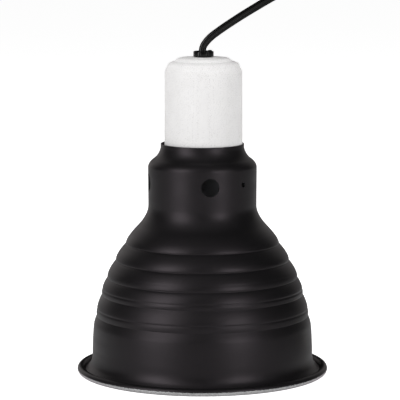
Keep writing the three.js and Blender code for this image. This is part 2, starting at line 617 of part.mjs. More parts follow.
shade();
housing();
insert();
screwShell();
centreContact();
terminals();
housingScrews();
retainingRing();
strainRelief();
innerWiring();
add('cord_lead', 'black_pvc', flatCord(LEAD_ROUTE, LEAD_WIDTHS, 44));
inlineSwitch();
add('cord_link', 'black_pvc', flatCord(LINK_ROUTE, LINK_WIDTHS, 14));
coilAndTie();
tailAndPlug();

export default fixture;
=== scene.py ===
"""Looks for a dome heat lamp fixture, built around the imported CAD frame.

The shade, porcelain, socket, strain relief, cord, switch and plug get smooth meshes and procedural
materials. Lengths are in millimetres, and become metres where a mesh, light or camera is made.
"""
import json
from math import acos, asin, atan2, copysign, cos, degrees, exp, hypot, pi, radians, sin, sqrt

import bmesh
import bpy
from mathutils import Matrix, Vector, kdtree


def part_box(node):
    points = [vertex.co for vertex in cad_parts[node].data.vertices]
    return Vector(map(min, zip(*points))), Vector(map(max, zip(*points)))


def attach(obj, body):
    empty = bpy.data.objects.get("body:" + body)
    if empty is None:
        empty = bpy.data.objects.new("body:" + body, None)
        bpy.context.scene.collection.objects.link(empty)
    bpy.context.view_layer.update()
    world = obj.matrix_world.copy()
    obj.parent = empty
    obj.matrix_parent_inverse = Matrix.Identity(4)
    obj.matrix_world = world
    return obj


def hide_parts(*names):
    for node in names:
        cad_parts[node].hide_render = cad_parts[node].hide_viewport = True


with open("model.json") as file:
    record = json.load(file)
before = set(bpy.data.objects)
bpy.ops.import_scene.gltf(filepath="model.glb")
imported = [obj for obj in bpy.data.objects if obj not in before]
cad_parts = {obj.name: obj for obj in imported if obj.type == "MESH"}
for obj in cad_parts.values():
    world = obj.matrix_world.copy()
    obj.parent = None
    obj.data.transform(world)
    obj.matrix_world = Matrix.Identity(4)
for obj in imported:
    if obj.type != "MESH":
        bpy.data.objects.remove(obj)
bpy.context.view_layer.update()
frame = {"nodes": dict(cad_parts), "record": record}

# ---- dimensions ----
MM = 0.001
GAP = 0.3  # clearance between neighbouring pieces

# Camera
TARGET = Vector((-1.33, 0.0, 96.5))
CAMERA_DISTANCE = 1350.0
CAMERA_ELEVATION = 7.842
LENS, SENSOR_WIDTH = 218.4, 36

# Soft panels: name, azimuth from the front towards +X, elevation, distance, size, power in watts, and
# whether they light matt surfaces, are mirrored by glossy ones, or both
LIT, MIRRORED, BOTH = (True, False), (False, True), (True, True)
PANELS = [
    ("key", -47, 18, 900, (420, 800), 6.3, BOTH),
    ("fill", 38, 12, 1100, (340, 700), 5.5, BOTH),
    ("top", 0, 88, 1100, (1200, 1200), 8.9, LIT),
    ("right", 85, 20, 1100, (800, 800), 4.6, LIT),
    ("left", -110, 20, 1100, (800, 800), 2.2, LIT),
    ("left_back", -146, 18, 1200, (700, 900), 1.5, BOTH),
    ("right_back", 152, 18, 1200, (700, 900), 0.9, BOTH),
    ("over", 0, 52, 1100, (1500, 400), 1.0, MIRRORED),
    ("under", 0, -88, 700, (600, 600), 0.8, BOTH),
]
WARM = (1.0, 0.95, 0.94)  # colour of the panels behind
PANELS_FACE_Z = 90
FLOOR_Z, FLOOR_REACH = -0.05, 20000
# How bright the floor and the surroundings are as lights, and as the camera sees them
FLOOR_GLOW = (0.15, 0.97)
WORLD_GLOW = (0.0012, 1.0)

# Shade: outside of the sheet as radius, height, slope arriving and slope leaving, in degrees from
# straight down, outwards positive.
SHEET = 1.0
STATIONS = [
    (23.10, 126.4, 14, 10), (27.20, 119.75, 56, 56), (30.20, 115.2, 1, 0), (30.10, 94.0, 0, 0),
    (35.90, 82.35, 43, 43), (42.75, 72.4, 4, 42), (48.25, 63.0, -8, 40), (52.95, 53.3, -12, 38),
    (56.05, 43.9, -14, 30), (59.1, 32.1, -10, 22), (60.80, 26.5, 5.5, 5.5), (61.50, 13.5, 2, 2),
    (63.20, 4.2, 38, 38), (65.80, 2.05, 88, 88),
]
# Lines scored in the upper notches and between the lower ones: height, depth and about half the width
SCORES = [
    (72.2, 0.16, 0.40), (62.8, 0.16, 0.40), (56.7, 0.07, 0.35), (53.1, 0.12, 0.35), (46.9, 0.24, 0.50),
    (35.8, 0.26, 0.50),
]
SOFTNESS = 0.15  # half the length over which a spun corner bends
NOTCHED = 5  # turn outwards, in degrees, that makes a corner a notch
TO_NOTCH, EVEN = (0.42, 0.22), (1 / 3, 1 / 3)  # a stretch's two handles, as shares of its length
BEAD_R, BEAD_Z, BEAD_RADIUS = 67.9, 2.0, 2.1
BEAD_FROM, BEAD_TO = 145, -140
NECK_SHADE_HEIGHTS = (82, 90)  # heights between which the bare inside is darkened, as painted shade inside the neck
PAINT_ENDS_AT = 3  # where round the bead the paint stops, in degrees above level
PAINTED, WORN, BARE = 3.0, -0.5, -3.0  # millimetres inside the painted area, below 0 where bare
SEAT_Z, SEAT_HOLE, SEAT_WALL, SEAT_EDGE = 126.3, 17.7, 22.55, 22.6
LIP_R, LIP_Z, LIP_RADIUS = 22.85, 128.0, 0.3
# Vents and small holes: count, radius, height, first azimuth and the step between them, in degrees
HOLES = [(4, 5.0, 107.1, 8.3, 90), (2, 1.5, 107.6, 48, 180)]

# Porcelain lampholder, clamped a little to the right in its collar
HOLDER_X = 0.6
HOUSING_R, HOUSING_TOP_R, HOUSING_WALL_TOP = 21.65, 21.4, 168.2
CREASE_R, CREASE_Z = 20.15, 171.0  # where the cap's rounded edge meets its shoulder
CROWN_R, CROWN_FOOT, CROWN_TOP, CROWN_BOSS = 15.7, 173.95, 175.95, 176.2  # raised disc on the cap's top
CHAMBER_R, CHAMBER_Z = 18.7, 166.0
CORD_HOLE = 4.9
COLUMN_R, COLUMN_Y, SCREW_BORE_R, SCREW_BORE_TOP = 3.8, 9.5, 1.8, 163.3
NECK_R, BORE_R, MOUTH_Z, SHOULDER_Z = 16.6, 14.3, 112.0, 126.9
INSERT_R, INSERT_FLOOR, INSERT_TOP = 18.3, 146.0, 153.0
RECESS_R, RECESS_DEPTH = 6.9, 1.6

# Screw shell, ring and terminals
CREST, TROUGH, SHELL_WALL, PITCH = 13.6, 12.8, 0.4, 3.63
SHELL_TOP, SHELL_BOTTOM, BASE_HOLE = 145.3, 120.4, 7.2
RING_INNER, RING_OUTER, RING_BOTTOM, RING_TOP = 16.9, 21.2, 118.6, 123.9
RING_NOTCHES, NOTCH_DEPTH, NOTCH_HALF_WIDTH, ABOVE_NOTCH = 4, 1.8, 2.5, 1.6
RIVET_SHANK, RIVET_HEAD = 1.1, 1.9
TERMINAL_X = 14.0
CONTACT_RIVET_X, SHELL_RIVET_X = -3.0, 8.8
HEAD_R, HEAD_HEIGHT = 5.65, 2.95  # strain relief's head
STEM_R, STEM_TIP_R, BARB_R, BARB_BOTTOM, BARB_TOP = 4.6, 4.3, 5.3, 164.6, 165.4
LEADS_PART_Z, WIRE_R = 163, 1.1  # height at which the two leads part, and a lead's radius

# Cord: flat twin lead, its routes as the CAD has them
CORD_HALF, CORE_R = 2.65, 1.35
WEB = 0.62  # half the thickness of the web between the two cores
CORD_STEP = 1.5
UPRIGHT = Vector((0, 0, 1))
WIDTH_AT_GLAND = (0.52, 0.854, 0.0)
LEAD_START = [(0, 0, 168.5), (0, 0, 174.5)]
LEAD_ROUTE = [
    (0, 0, 179.7), (0.9, 0, 182.8), (4.3, 0, 186.9), (9.9, 0, 191.2), (15.5, 0, 195.0), (21.2, 0, 198.7),
    (26.9, 0, 202.2), (36, 0, 207.6), (46, 1, 212.9), (60, 5, 218.9), (75, 12, 222.6), (90, 21, 222.6),
    (104, 31, 217.8), (115, 39, 208.5), (121.8, 44.5, 196), (125.5, 48, 181), (127.3, 50, 162),
    (128, 51, 141), (128, 51, 119), (128, 51, 97), (128, 51, 75), (128, 51, 53), (128.3, 51, 35),
    (130.5, 51, 22), (136, 51, 12.8), (143, 51, 8.9), (151.7, 51, 8),
]
LEAD_END = [(157.0, 51, 8)]
LEAD_WIDTHS = [
    (0, WIDTH_AT_GLAND), (2, (0.47, 0.76, -0.43)), (7, (0.38, 0.70, -0.60)), (11, (-0.3, 0.85, -0.3)),
    (14, (-0.45, 0.89, 0)), (18, (-0.2, 0.98, 0)), (22, (0, 1, 0)), (26, (0, 1, 0)),
]
LINK_START = [(201.0, 51, 8)]
LINK_ROUTE = [
    (206.3, 51, 8), (209.6, 51, 7.2), (215.5, 49.6, 5.6), (221.5, 45.6, 4.4), (226, 39.2, 3.8),
    (228, 31, 3.6), (228.6, 20, 3.6), (228.6, 6, 3.7), (228.5, -8, 3.7), (228.4, -23, 3.7),
]
LINK_WIDTHS = [(0, (0, 1, 0)), (3, (0.6, 0.7, 0.4)), (6, (0.2, 0, 1)), (9, (0, 0, 1))]
COIL_X, COIL_Y = 196.5, -37.0
COIL_LOWER_R, COIL_UPPER_R = 31.9, 30.5  # outermost turns of the two layers
COIL_LOWER_Z, COIL_UPPER_Z = 3.7, 9.3
COIL_SPACING = 2.8
COIL_CLIMB = (3.5, 3.9)  # turns between which the cord climbs to the upper layer
COIL_TURNS = 7 + 155 / 360
BEFORE_COIL = (9.5, 5, 1.5)  # distances from the coil's first turn
TAIL_LENGTH, PLUG_Z = 39.0, 7.7

# Switch and plug
SWITCH_X, SWITCH_Y = 179.0, 51.0
SWITCH_HALF, SWITCH_WIDE, SWITCH_NARROW, SWITCH_HEIGHT = 27.0, 11.5, 5.5, 16.0
WHEEL_R, WHEEL_THICKNESS, WHEEL_AXLE, WHEEL_TEETH = 13.0, 4.6, 2.0, 24
SWITCH_SCREW_X, SINK_R, SINK_DEPTH = 20.5, 3.0, 3.3
CHANNEL_HALF_WIDTH, CHANNEL_HALF_HEIGHT = 3, 1.7
PLUG_LENGTH, PLUG_WIDTH, PLUG_HEIGHT, BOOT = 30.0, 23.0, 15.0, 13.0
BLADE_SPACING, BLADE_THICKNESS, BLADE_LENGTH, BLADE_ROOT = 12.7, 1.5, 17.5, 9.0
BLADE_WIDTHS = {"hot": 6.35, "neutral": 7.9}
BOOT_RIB, FINGER_RIDGE, FINGER_RIDGES = 3.0, 2.4, (24, 37)  # spacings, and where the ridges are
TIE_THICKNESS, TIE_ROUNDING = 0.8, 0.25


# ---- meshes ----
def skin(rings, wrap=False):
    """Points and faces of a surface through closed rings of points, capped unless it wraps round."""
    count = len(rings[0])
    points = [point for ring in rings for point in ring]
    faces = []
    for i in range(len(rings) if wrap else len(rings) - 1):
        a = i * count
        b = (i + 1) % len(rings) * count
        faces += [(a + j, a + (j + 1) % count, b + (j + 1) % count, b + j) for j in range(count)]
    if not wrap:
        faces += [tuple(range(count)), tuple(range(len(points) - count, len(points)))]
    return points, faces


def spoke(radius, angle, x=0.0, y=0.0):
    """A point at a radius and an angle from a centre."""
    return x + radius * cos(angle), y + radius * sin(angle)


def added(name, data):
    """A new object in the scene."""
    obj = bpy.data.objects.new(name, data)
    bpy.context.scene.collection.objects.link(obj)
    return obj


def turned(profile, sides=96, shaped=None):
    """A closed profile of (radius, height) turned about Z, and changed by shaped(r, z, angle)."""
    rings = []
    for k in range(sides):
        angle = 2 * pi * k / sides
        outline = [shaped(r, z, angle) for r, z in profile] if shaped else profile
        rings.append([(*spoke(r, angle), z) for r, z in outline])
    return skin(rings, wrap=True)


def build(name, shape, matrix=None, crease=32):
    """A mesh object of a shape's points and faces, doubles merged, faces out, smooth but for creases."""
    points, faces = shape
    mesh = bpy.data.meshes.new(name)
    mesh.from_pydata([Vector(point) * MM for point in points], [], faces)
    if matrix is not None:
        mesh.transform(matrix)
    work = bmesh.new()
    work.from_mesh(mesh)
    bmesh.ops.remove_doubles(work, verts=work.verts, dist=2e-7)
    bmesh.ops.recalc_face_normals(work, faces=work.faces)
    work.to_mesh(mesh)
    work.free()
    return smooth(added(name, mesh), crease)


def smooth(obj, crease=32):
    """Smooth shading, with edges sharper than crease degrees kept."""
    obj.data.polygons.foreach_set("use_smooth", [True] * len(obj.data.polygons))
    obj.data.set_sharp_from_angle(angle=radians(crease))
    return obj


def place(x=0.0, y=0.0, z=0.0, turn=0.0, axis="Z"):
    """A matrix that turns by degrees about an axis and then moves by millimetres."""
    return Matrix.Translation(Vector((x, y, z)) * MM) @ Matrix.Rotation(radians(turn), 4, axis)


def combine(obj, tools, operation="DIFFERENCE"):
    """Cuts the tools from a piece, or joins them on, and removes them."""
    for tool in tools:
        modifier = obj.modifiers.new("combine", "BOOLEAN")
        modifier.operation = operation
        modifier.object = tool
        modifier.solver = "EXACT"
    result = bpy.data.meshes.new_from_object(obj.evaluated_get(bpy.context.evaluated_depsgraph_get()))
    obj.modifiers.clear()
    obj.data = result
    for tool in tools:
        bpy.data.objects.remove(tool)
    smooth(obj)


def softened(points, reach, steps=3):
    """A closed outline with its corners curved; a point may carry its own reach as a third number."""
    made = []
    count = len(points)
    for i, point in enumerate(points):
        corner = Vector(point[:2])
        before = Vector(points[i - 1][:2]) - corner
        after = Vector(points[(i + 1) % count][:2]) - corner
        asked = point[2] if len(point) > 2 else reach
        cut = min(asked, before.length * 0.45, after.length * 0.45)
        if cut < 1e-3:
            made.append(tuple(corner))
            continue
        start = corner + before.normalized() * cut
        end = corner + after.normalized() * cut
        for k in range(steps + 1):
            t = k / steps
            made.append(tuple(start * (1 - t) ** 2 + corner * (2 * t * (1 - t)) + end * t * t))
    return made


def cylinder(radius, bottom, top, x=0.0, y=0.0, sides=48):
    """An upright cylinder."""
    angles = [2 * pi * k / sides for k in range(sides)]
    return skin([[(*spoke(radius, angle, x, y), z) for angle in angles] for z in (bottom, top)])


def inset(outline, distance):
    """A convex outline, counter-clockwise, moved inwards."""
    moved = []
    for i, point in enumerate(outline):
        along = Vector(outline[(i + 1) % len(outline)]) - Vector(outline[i - 1])
        inward = Vector((-along.y, along.x)).normalized()
        moved.append(Vector(point) + inward * distance)
    return moved


def pillow(outline, bottom, top, low_round, high_round, steps=5):
    """An upright slab of an outline, with its lower and upper edges rounded."""
    levels = []
    for k in range(steps + 1):
        angle = pi / 2 * k / steps
        height, inwards = 1 - sin(angle), 1 - cos(angle)
        levels.append((bottom + low_round * height, low_round * inwards))
        levels.append((top - high_round * height, high_round * inwards))
    rings = []
    for z, inwards in sorted(levels):
        rings.append([(p.x, p.y, z) for p in inset(outline, inwards)])
    return skin(rings)


def rounded_rectangle(x0, y0, x1, y1, radius, steps=5):
    """Counter-clockwise outline of a rectangle with round corners."""
    corners = [(x1, y1, 0), (x0, y1, 90), (x0, y0, 180), (x1, y0, 270)]
    outline = []
    for x, y, start in corners:
        cx = x - copysign(radius, x - (x0 + x1) / 2)
        cy = y - copysign(radius, y - (y0 + y1) / 2)
        for k in range(steps + 1):
            angle = radians(start + 90 * k / steps)
            outline.append(spoke(radius, angle, cx, cy))
    return outline


def rounded_block(low, high, radius, steps=4):
    """A box with all its edges rounded."""
    outline = rounded_rectangle(low[0], low[1], high[0], high[1], radius * 1.001, steps)
    return pillow(outline, low[2], high[2], radius, radius, steps)


# ---- materials ----
class Finish:
    """A procedural material: a Principled shader, and short calls that wire textures into it."""

    def __init__(self, name, color, roughness, metallic=0.0, **sockets):
        self.material = bpy.data.materials.new(name)
        self.material.use_nodes = True
        self.tree = self.material.node_tree
        self.shader = self.tree.nodes["Principled BSDF"]
        self.put("Base Color", (*color, 1.0))
        self.put("Roughness", roughness)
        self.put("Metallic", metallic)
        for key, value in sockets.items():
            self.put(key.replace("_", " "), value)
        self.normal = None

    def feed(self, socket, value):
        """Sets a socket, or links it to another node's output."""
        if isinstance(value, bpy.types.NodeSocket):
            self.tree.links.new(value, socket)
        else:
            socket.default_value = value

    def put(self, name, value):
        """Sets or links one of the shader's inputs."""
        self.feed(self.shader.inputs[name], value)

    def node(self, kind, *values, **settings):
        """A node with its settings and its first inputs in order."""
        made = self.tree.nodes.new("ShaderNode" + kind)
        for key, value in settings.items():
            setattr(made, key, value)
        for k, value in enumerate(values):
            if value is not None:
                self.feed(made.inputs[k], value)
        return made

    def math(self, operation, *values):
        return self.node("Math", *values, operation=operation).outputs[0]

    def place(self, stretch=(1, 1, 1)):
        """Positions on the piece in millimetres, times a stretch."""
        mapping = self.node("Mapping", self.node("TexCoord").outputs["Object"])
        mapping.inputs["Scale"].default_value = [s / MM for s in stretch]
        return mapping.outputs[0]

    def noise(self, per_mm, detail=2.0, stretch=(1, 1, 1), harshness=0.5):
        """Noise from 0 to 1 with so many features to the millimetre."""
        where = self.place([s * per_mm for s in stretch])
        return self.node("TexNoise", where, None, 1.0, detail, harshness).outputs["Fac"]

    def remap(self, value, low, high, to_low=0.0, to_high=1.0, smoothly=False):
        kind = "SMOOTHSTEP" if smoothly else "LINEAR"
        return self.node("MapRange", value, low, high, to_low, to_high, interpolation_type=kind).outputs[0]

    def mix(self, share, first, second):
        """A colour between two colours."""
        made = self.node("Mix", share, data_type="RGBA")
        for k, value in ((6, first), (7, second)):
            self.feed(made.inputs[k], value if isinstance(value, bpy.types.NodeSocket) else (*value, 1.0))
        return made.outputs[2]

    def color(self, value):
        self.put("Base Color", value)

    def rough(self, value):
        self.put("Roughness", value)

    def bump(self, height, depth):
        """Relief of a height from 0 to 1, so many millimetres deep."""
        made = self.node("Bump")
        made.inputs["Strength"].default_value = 1.0
        made.inputs["Distance"].default_value = depth * MM
        self.feed(made.inputs["Height"], height)
        if self.normal is not None:
            self.feed(made.inputs["Normal"], self.normal)
        self.normal = made.outputs[0]
        self.put("Normal", self.normal)


def shade_finish():
    """Satin black paint over spun aluminium, which is bare inside and under the curled rim."""
    made = Finish("black_paint", (0.003, 0.003, 0.003), 0.45, Specular_IOR_Level=0.25,
                  Specular_Tint=(1.0, 0.88, 0.96, 1.0))
    spun = made.noise(2.2, 3.0, (0.02, 0.02, 1.0))
    broad = made.noise(0.16, 2.0, (0.08, 0.08, 1.0))
    grain = made.noise(3.5, 3.0)
    coat = made.node("Attribute", attribute_name="coat").outputs["Fac"]
    ragged = made.math("MULTIPLY_ADD", made.noise(1.4, 4.0, harshness=0.7), 1.6, -0.8)
    painted = made.remap(made.math("ADD", coat, ragged), -0.12, 0.12, smoothly=True)
    black = made.mix(made.remap(grain, 0.3, 0.7), (0.0026, 0.0026, 0.0028), (0.0040, 0.0038, 0.0040))
    metal = made.mix(made.remap(spun, 0.3, 0.7), (0.36, 0.36, 0.365), (0.50, 0.50, 0.51))
    blotches = made.remap(made.noise(1.1, 5.0, harshness=0.75), 0.35, 0.65)
    metal = made.mix(0.5, metal, made.mix(blotches, (0.22, 0.22, 0.22), (0.68, 0.68, 0.68)))
    height = made.node("SeparateXYZ", made.place()).outputs["Z"]
    # Painted shade: above these heights the bare metal turns near black, standing in for the shade inside
    # the neck
    metal = made.mix(made.remap(height, *NECK_SHADE_HEIGHTS), metal, (0.10, 0.10, 0.105))
    made.color(made.mix(painted, metal, black))
    made.put("Metallic", made.remap(painted, 0.0, 1.0, 1.0, 0.0))
    paint_rough = made.remap(broad, 0.3, 0.7, 0.40, 0.47)
    metal_rough = made.remap(grain, 0.3, 0.7, 0.34, 0.50)
    gap = made.math("SUBTRACT", paint_rough, metal_rough)
    made.rough(made.math("MULTIPLY_ADD", painted, gap, metal_rough))
    made.bump(broad, 0.05)
    made.bump(spun, 0.006)
    made.bump(grain, 0.006)
    return made.material


def porcelain_finish():
    """Unglazed white porcelain with scattered fine dark specks."""
    made = Finish("porcelain", (0.70, 0.695, 0.69), 0.62, Specular_IOR_Level=0.30)
    cloud = made.remap(made.noise(0.12, 3.0), 0.3, 0.7)
    body = made.mix(cloud, (0.650, 0.642, 0.640), (0.680, 0.672, 0.670))
    for spacing, radius, dark in ((2.4, 0.62, 0.10), (1.5, 0.36, 0.22)):
        cells = made.node("TexVoronoi", made.place([1 / spacing] * 3))
        near = made.remap(cells.outputs["Distance"], radius * 0.45 / spacing, radius / spacing, 1.0, 0.0)
        some = made.remap(cells.outputs["Color"], 0.35, 0.60)
        body = made.mix(made.math("MULTIPLY", near, some), body, (dark, dark * 0.97, dark * 0.93))
    made.color(body)
    grain = made.noise(4.0, 4.0)
    made.rough(made.remap(grain, 0.3, 0.7, 0.55, 0.72))
    made.bump(grain, 0.02)
    made.bump(made.noise(0.9, 2.0), 0.02)
    return made.material


def metal_finish(name, light, dark, roughness, streak=(1, 1, 1)):
    """Worked metal: streaks along the way it was worked, faint tarnish and small scratches."""
    made = Finish(name, light, roughness, 1.0)
    tarnish = made.remap(made.noise(0.25, 4.0), 0.42, 0.68)
    made.color(made.mix(tarnish, light, dark))
    lines = made.noise(3.0, 3.0, streak)
    wear = made.noise(0.6, 3.0)
    made.rough(made.math("ADD", made.remap(lines, 0.3, 0.7, roughness - 0.08, roughness + 0.08),
                         made.remap(wear, 0.4, 0.7, 0.0, 0.08)))
    made.bump(lines, 0.008)
    return made.material


def fibre_finish():
    """Vulcanised fibre: red-brown, matt, with paper flecks."""
    made = Finish("fibre", (0.16, 0.07, 0.045), 0.82)
    flecks = made.remap(made.noise(1.8, 4.0, (1, 1, 3)), 0.35, 0.7)
    made.color(made.mix(flecks, (0.12, 0.05, 0.034), (0.22, 0.11, 0.07)))
    made.bump(made.noise(3.0, 4.0), 0.03)
    return made.material


def nylon_finish():
    """Moulded black nylon with a fine spark-eroded grain."""
    made = Finish("black_nylon", (0.003, 0.003, 0.003), 0.24, Specular_IOR_Level=0.35)
    grain = made.noise(5.0, 2.0)
    made.color(made.mix(made.noise(0.5, 3.0), (0.002, 0.002, 0.002), (0.005, 0.005, 0.005)))
    made.rough(made.remap(grain, 0.3, 0.7, 0.14, 0.22))
    made.bump(grain, 0.006)
    return made.material


def vinyl_finish(name, first, second, roughness, shine):
    """Extruded or moulded vinyl: satin, with slow colour change and a faint skin."""
    made = Finish(name, first, roughness, Specular_IOR_Level=shine)
    made.color(made.mix(made.remap(made.noise(0.2, 3.0), 0.35, 0.65), first, second))
    skin_grain = made.noise(1.6, 3.0)
    made.rough(made.remap(skin_grain, 0.3, 0.7, roughness - 0.03, roughness + 0.04))
    made.bump(skin_grain, 0.006)
    return made.material


MATERIALS = {
    "black_paint": shade_finish(),
    "porcelain": porcelain_finish(),
    "brass": metal_finish("brass", (0.72, 0.53, 0.26), (0.50, 0.34, 0.15), 0.32),
    "spring_brass": metal_finish("spring_brass", (0.76, 0.60, 0.33), (0.58, 0.42, 0.22), 0.28, (0.1, 1, 1)),
    "zinc_steel": metal_finish("zinc_steel", (0.62, 0.63, 0.65), (0.48, 0.49, 0.50), 0.34),
    "aluminium": metal_finish("aluminium", (0.72, 0.72, 0.74), (0.58, 0.58, 0.60), 0.36, (0.05, 0.05, 1)),
    "fibre": fibre_finish(),
    "black_nylon": nylon_finish(),
    "black_pvc": vinyl_finish("black_pvc", (0.0020, 0.0018, 0.0018), (0.0032, 0.0030, 0.0030), 0.11, 0.20),
    "white_pvc": vinyl_finish("white_pvc", (0.76, 0.75, 0.71), (0.70, 0.69, 0.64), 0.42, 0.5),
}


def finished(obj, slot, *nodes, body="fixture"):
    """Gives a piece its material and body, and lets it stand for CAD nodes."""
    obj.data.materials.clear()
    obj.data.materials.append(MATERIALS[slot])
    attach(obj, body)
    if nodes:
        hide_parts(*nodes)
    return obj


def seated(obj):
    """Moves a piece of the lampholder from the shade's axis to where it is clamped."""
    obj.data.transform(place(x=HOLDER_X))
    return obj


# ---- camera, cords ----
def aim(obj, target, back, distance):
    """Puts a camera or a light at a distance back from its target, and turns it there."""
    obj.location = (target + back * distance) * MM
    obj.rotation_euler = (-back).to_track_quat("-Z", "Y").to_euler()


def camera():
    """The picture's camera."""
    data = bpy.data.cameras.new("camera")
    data.lens = LENS
    data.sensor_width = SENSOR_WIDTH
    obj = added("camera", data)
    tilt = radians(CAMERA_ELEVATION)
    aim(obj, TARGET, Vector((0, -cos(tilt), sin(tilt))), CAMERA_DISTANCE)
    bpy.context.scene.camera = obj


def route(points, widths, offset, spacing):
    """Places and width directions along a smooth curve through points, widths counted from offset."""
    points = [Vector(p) for p in points]
    widths = [(at + offset, Vector(way)) for at, way in widths]
    ends = [points[0] * 2 - points[1], *points, points[-1] * 2 - points[-2]]
    stations = []
    for i in range(len(points) - 1):
        a, b, c, d = ends[i:i + 4]
        steps = max(2, round((c - b).length / spacing))
        for k in range(steps + (i == len(points) - 2)):
            t = k / steps
            at = ((2 * b) + (c - a) * t + (2 * a - 5 * b + 4 * c - d) * t * t
                  + (3 * b - a - 3 * c + d) * t ** 3) / 2
            stations.append((at, width_at(widths, i + t)))
    return stations


def width_at(widths, position):
    """The width direction at a position counted in route points."""
    for (start, first), (end, second) in zip(widths, widths[1:]):
        if position <= end:
            share = min(max((position - start) / (end - start), 0), 1)
            return first.lerp(second, share)
    return widths[-1][1].copy()


def cord_section():
    """Outline of two round cores side by side, joined by a thin web."""
    centre = CORD_HALF - CORE_R
    reach = 180 - degrees(asin(WEB / CORE_R))
    half = []
    steps = 16
    for k in range(steps + 1):
        angle = radians(-reach + 2 * reach * k / steps)
        half.append(spoke(CORE_R, angle, centre))
    other = [(-x, -y) for x, y in half]
    return half + other


def sweep(name, stations, section, crease=60):
    """A tube of a section along stations of a place and a width direction."""
    rings = []
    for i, (at, width) in enumerate(stations):
        ahead = stations[min(i + 1, len(stations) - 1)][0]
        behind = stations[max(i - 1, 0)][0]
        tangent = (ahead - behind).normalized()
        across = (width - tangent * width.dot(tangent)).normalized()
        upwards = tangent.cross(across)
        rings.append([at + across * x + upwards * y for x, y in section])
    return build(name, skin(rings), crease=crease)


def smoothstep(value, low, high):
    """From 0 at low to 1 at high, smoothly."""
    t = min(max((value - low) / (high - low), 0.0), 1.0)
    return t * t * (3 - 2 * t)


def coil_stations():
    """Turns of the coil: inwards on the lower layer, up, and outwards on the upper one."""
    stations = []
    per_turn = 72
    for k in range(round(COIL_TURNS * per_turn) + 1):
        turn = k / per_turn
        climbed = smoothstep(turn, *COIL_CLIMB)
        lower = COIL_LOWER_R - COIL_SPACING * turn
        upper = COIL_UPPER_R - COIL_SPACING * (COIL_TURNS - turn)
        r = lower + (upper - lower) * climbed
        z = COIL_LOWER_Z + (COIL_UPPER_Z - COIL_LOWER_Z) * climbed
        angle = -2 * pi * turn
        stations.append((Vector((*spoke(r, angle, COIL_X, COIL_Y), z)), UPRIGHT))
    return stations


def tail_frame():
    """Where the tail meets the plug's boot, and the direction that it goes in."""
    angle = -2 * pi * COIL_TURNS
    way = Vector((sin(angle), -cos(angle), 0))
    leaving = Vector((*spoke(COIL_UPPER_R, angle, COIL_X, COIL_Y), 0))
    foot = leaving + way * (TAIL_LENGTH + GAP)
    foot.z = PLUG_Z
    return foot, way


def tail_stations():
    """From the coil's last turn straight to the plug, rolling flat on the way."""
    foot, way = tail_frame()
    start = coil_stations()[-1][0]
    end = foot + way * 6
    across = Vector((way.y, -way.x, 0))
    stations = []
    steps = 26
    for k in range(1, steps + 1):
        t = k / steps
        at = start.lerp(end, t)
        at.z = COIL_UPPER_Z + (PLUG_Z - COIL_UPPER_Z) * smoothstep(t, 0, 0.8)
        stations.append((at, UPRIGHT.lerp(across, smoothstep(t, 0.15, 0.85))))
    return stations


def cords():
    """The lead from the strain relief to the switch, and the rest from the switch to the plug."""
    section = cord_section()
    lead = route(LEAD_START + LEAD_ROUTE + LEAD_END, LEAD_WIDTHS, len(LEAD_START), CORD_STEP)
    first = finished(sweep("cord_to_switch", lead, section), "black_pvc", "cord_entry", "cord_lead")

    link = route(LINK_START + LINK_ROUTE, LINK_WIDTHS, len(LINK_START), CORD_STEP)
    x = link[-1][0].x
    to_coil = [(Vector((x, COIL_Y + y, COIL_LOWER_Z)), UPRIGHT) for y in BEFORE_COIL]
    rest = link + to_coil + coil_stations() + tail_stations()
    second = sweep("cord_to_plug", rest, section)
    finished(second, "black_pvc", "cord_link", "cord_coil", "cord_tail")


# ---- shade ----
def bezier(a, b, c, d, t):
    """The point at t on a cubic curve."""
    s = 1 - t
    return a * s ** 3 + b * (3 * s * s * t) + c * (3 * s * t * t) + d * t ** 3


def along(point, slope, distance):
    """The point at a distance along a slope counted from straight down, outwards positive."""
    angle = radians(slope)
    return point + Vector((sin(angle), -cos(angle))) * distance


def sheet_outside():
    """Outside of the sheet from collar to gutter, with its spun corners softened."""
    stretches = []
    for (r0, z0, _, leaving), (r1, z1, arriving, after) in zip(STATIONS, STATIONS[1:]):
        start, end = Vector((r0, z0)), Vector((r1, z1))
        length = (end - start).length
        into, out = TO_NOTCH if after > arriving + NOTCHED else EVEN
        handles = (along(start, leaving, length * into), along(end, arriving, -length * out))
        margin = SOFTNESS / length
        steps = max(2, round(length / 0.4))
        places = [margin + (1 - 2 * margin) * k / steps for k in range(steps + 1)]
        stretches.append([bezier(start, *handles, end, t) for t in places])
    outline = list(stretches[0])
    for station, before, after in zip(STATIONS[1:], stretches, stretches[1:]):
        corner = Vector(station[:2])
        for t in (0.25, 0.5, 0.75):
            outline.append(before[-1] * (1 - t) ** 2 + corner * (2 * t * (1 - t)) + after[0] * t * t)
        outline += after
    return [point - Vector((scored(point.y), 0)) for point in outline]


def scored(z):
    """How deep the scored lines are at a height."""
    return sum(depth * exp(-((z - at) / half) ** 2) for at, depth, half in SCORES)


def sheet_inside(outside):
    """The same line one sheet's thickness in."""
    inside = []
    for i, point in enumerate(outside):
        way = (outside[min(i + 1, len(outside) - 1)] - outside[max(i - 1, 0)]).normalized()
        inside.append(point + Vector((way.y, -way.x)) * SHEET)
    return inside


def arc(centre, radius, start, end, steps):
    """Points round an arc from one angle to another, in degrees."""
    made = []
    for k in range(steps + 1):
        angle = radians(start + (end - start) * k / steps)
        made.append(Vector(spoke(radius, angle, *centre)))
    return made


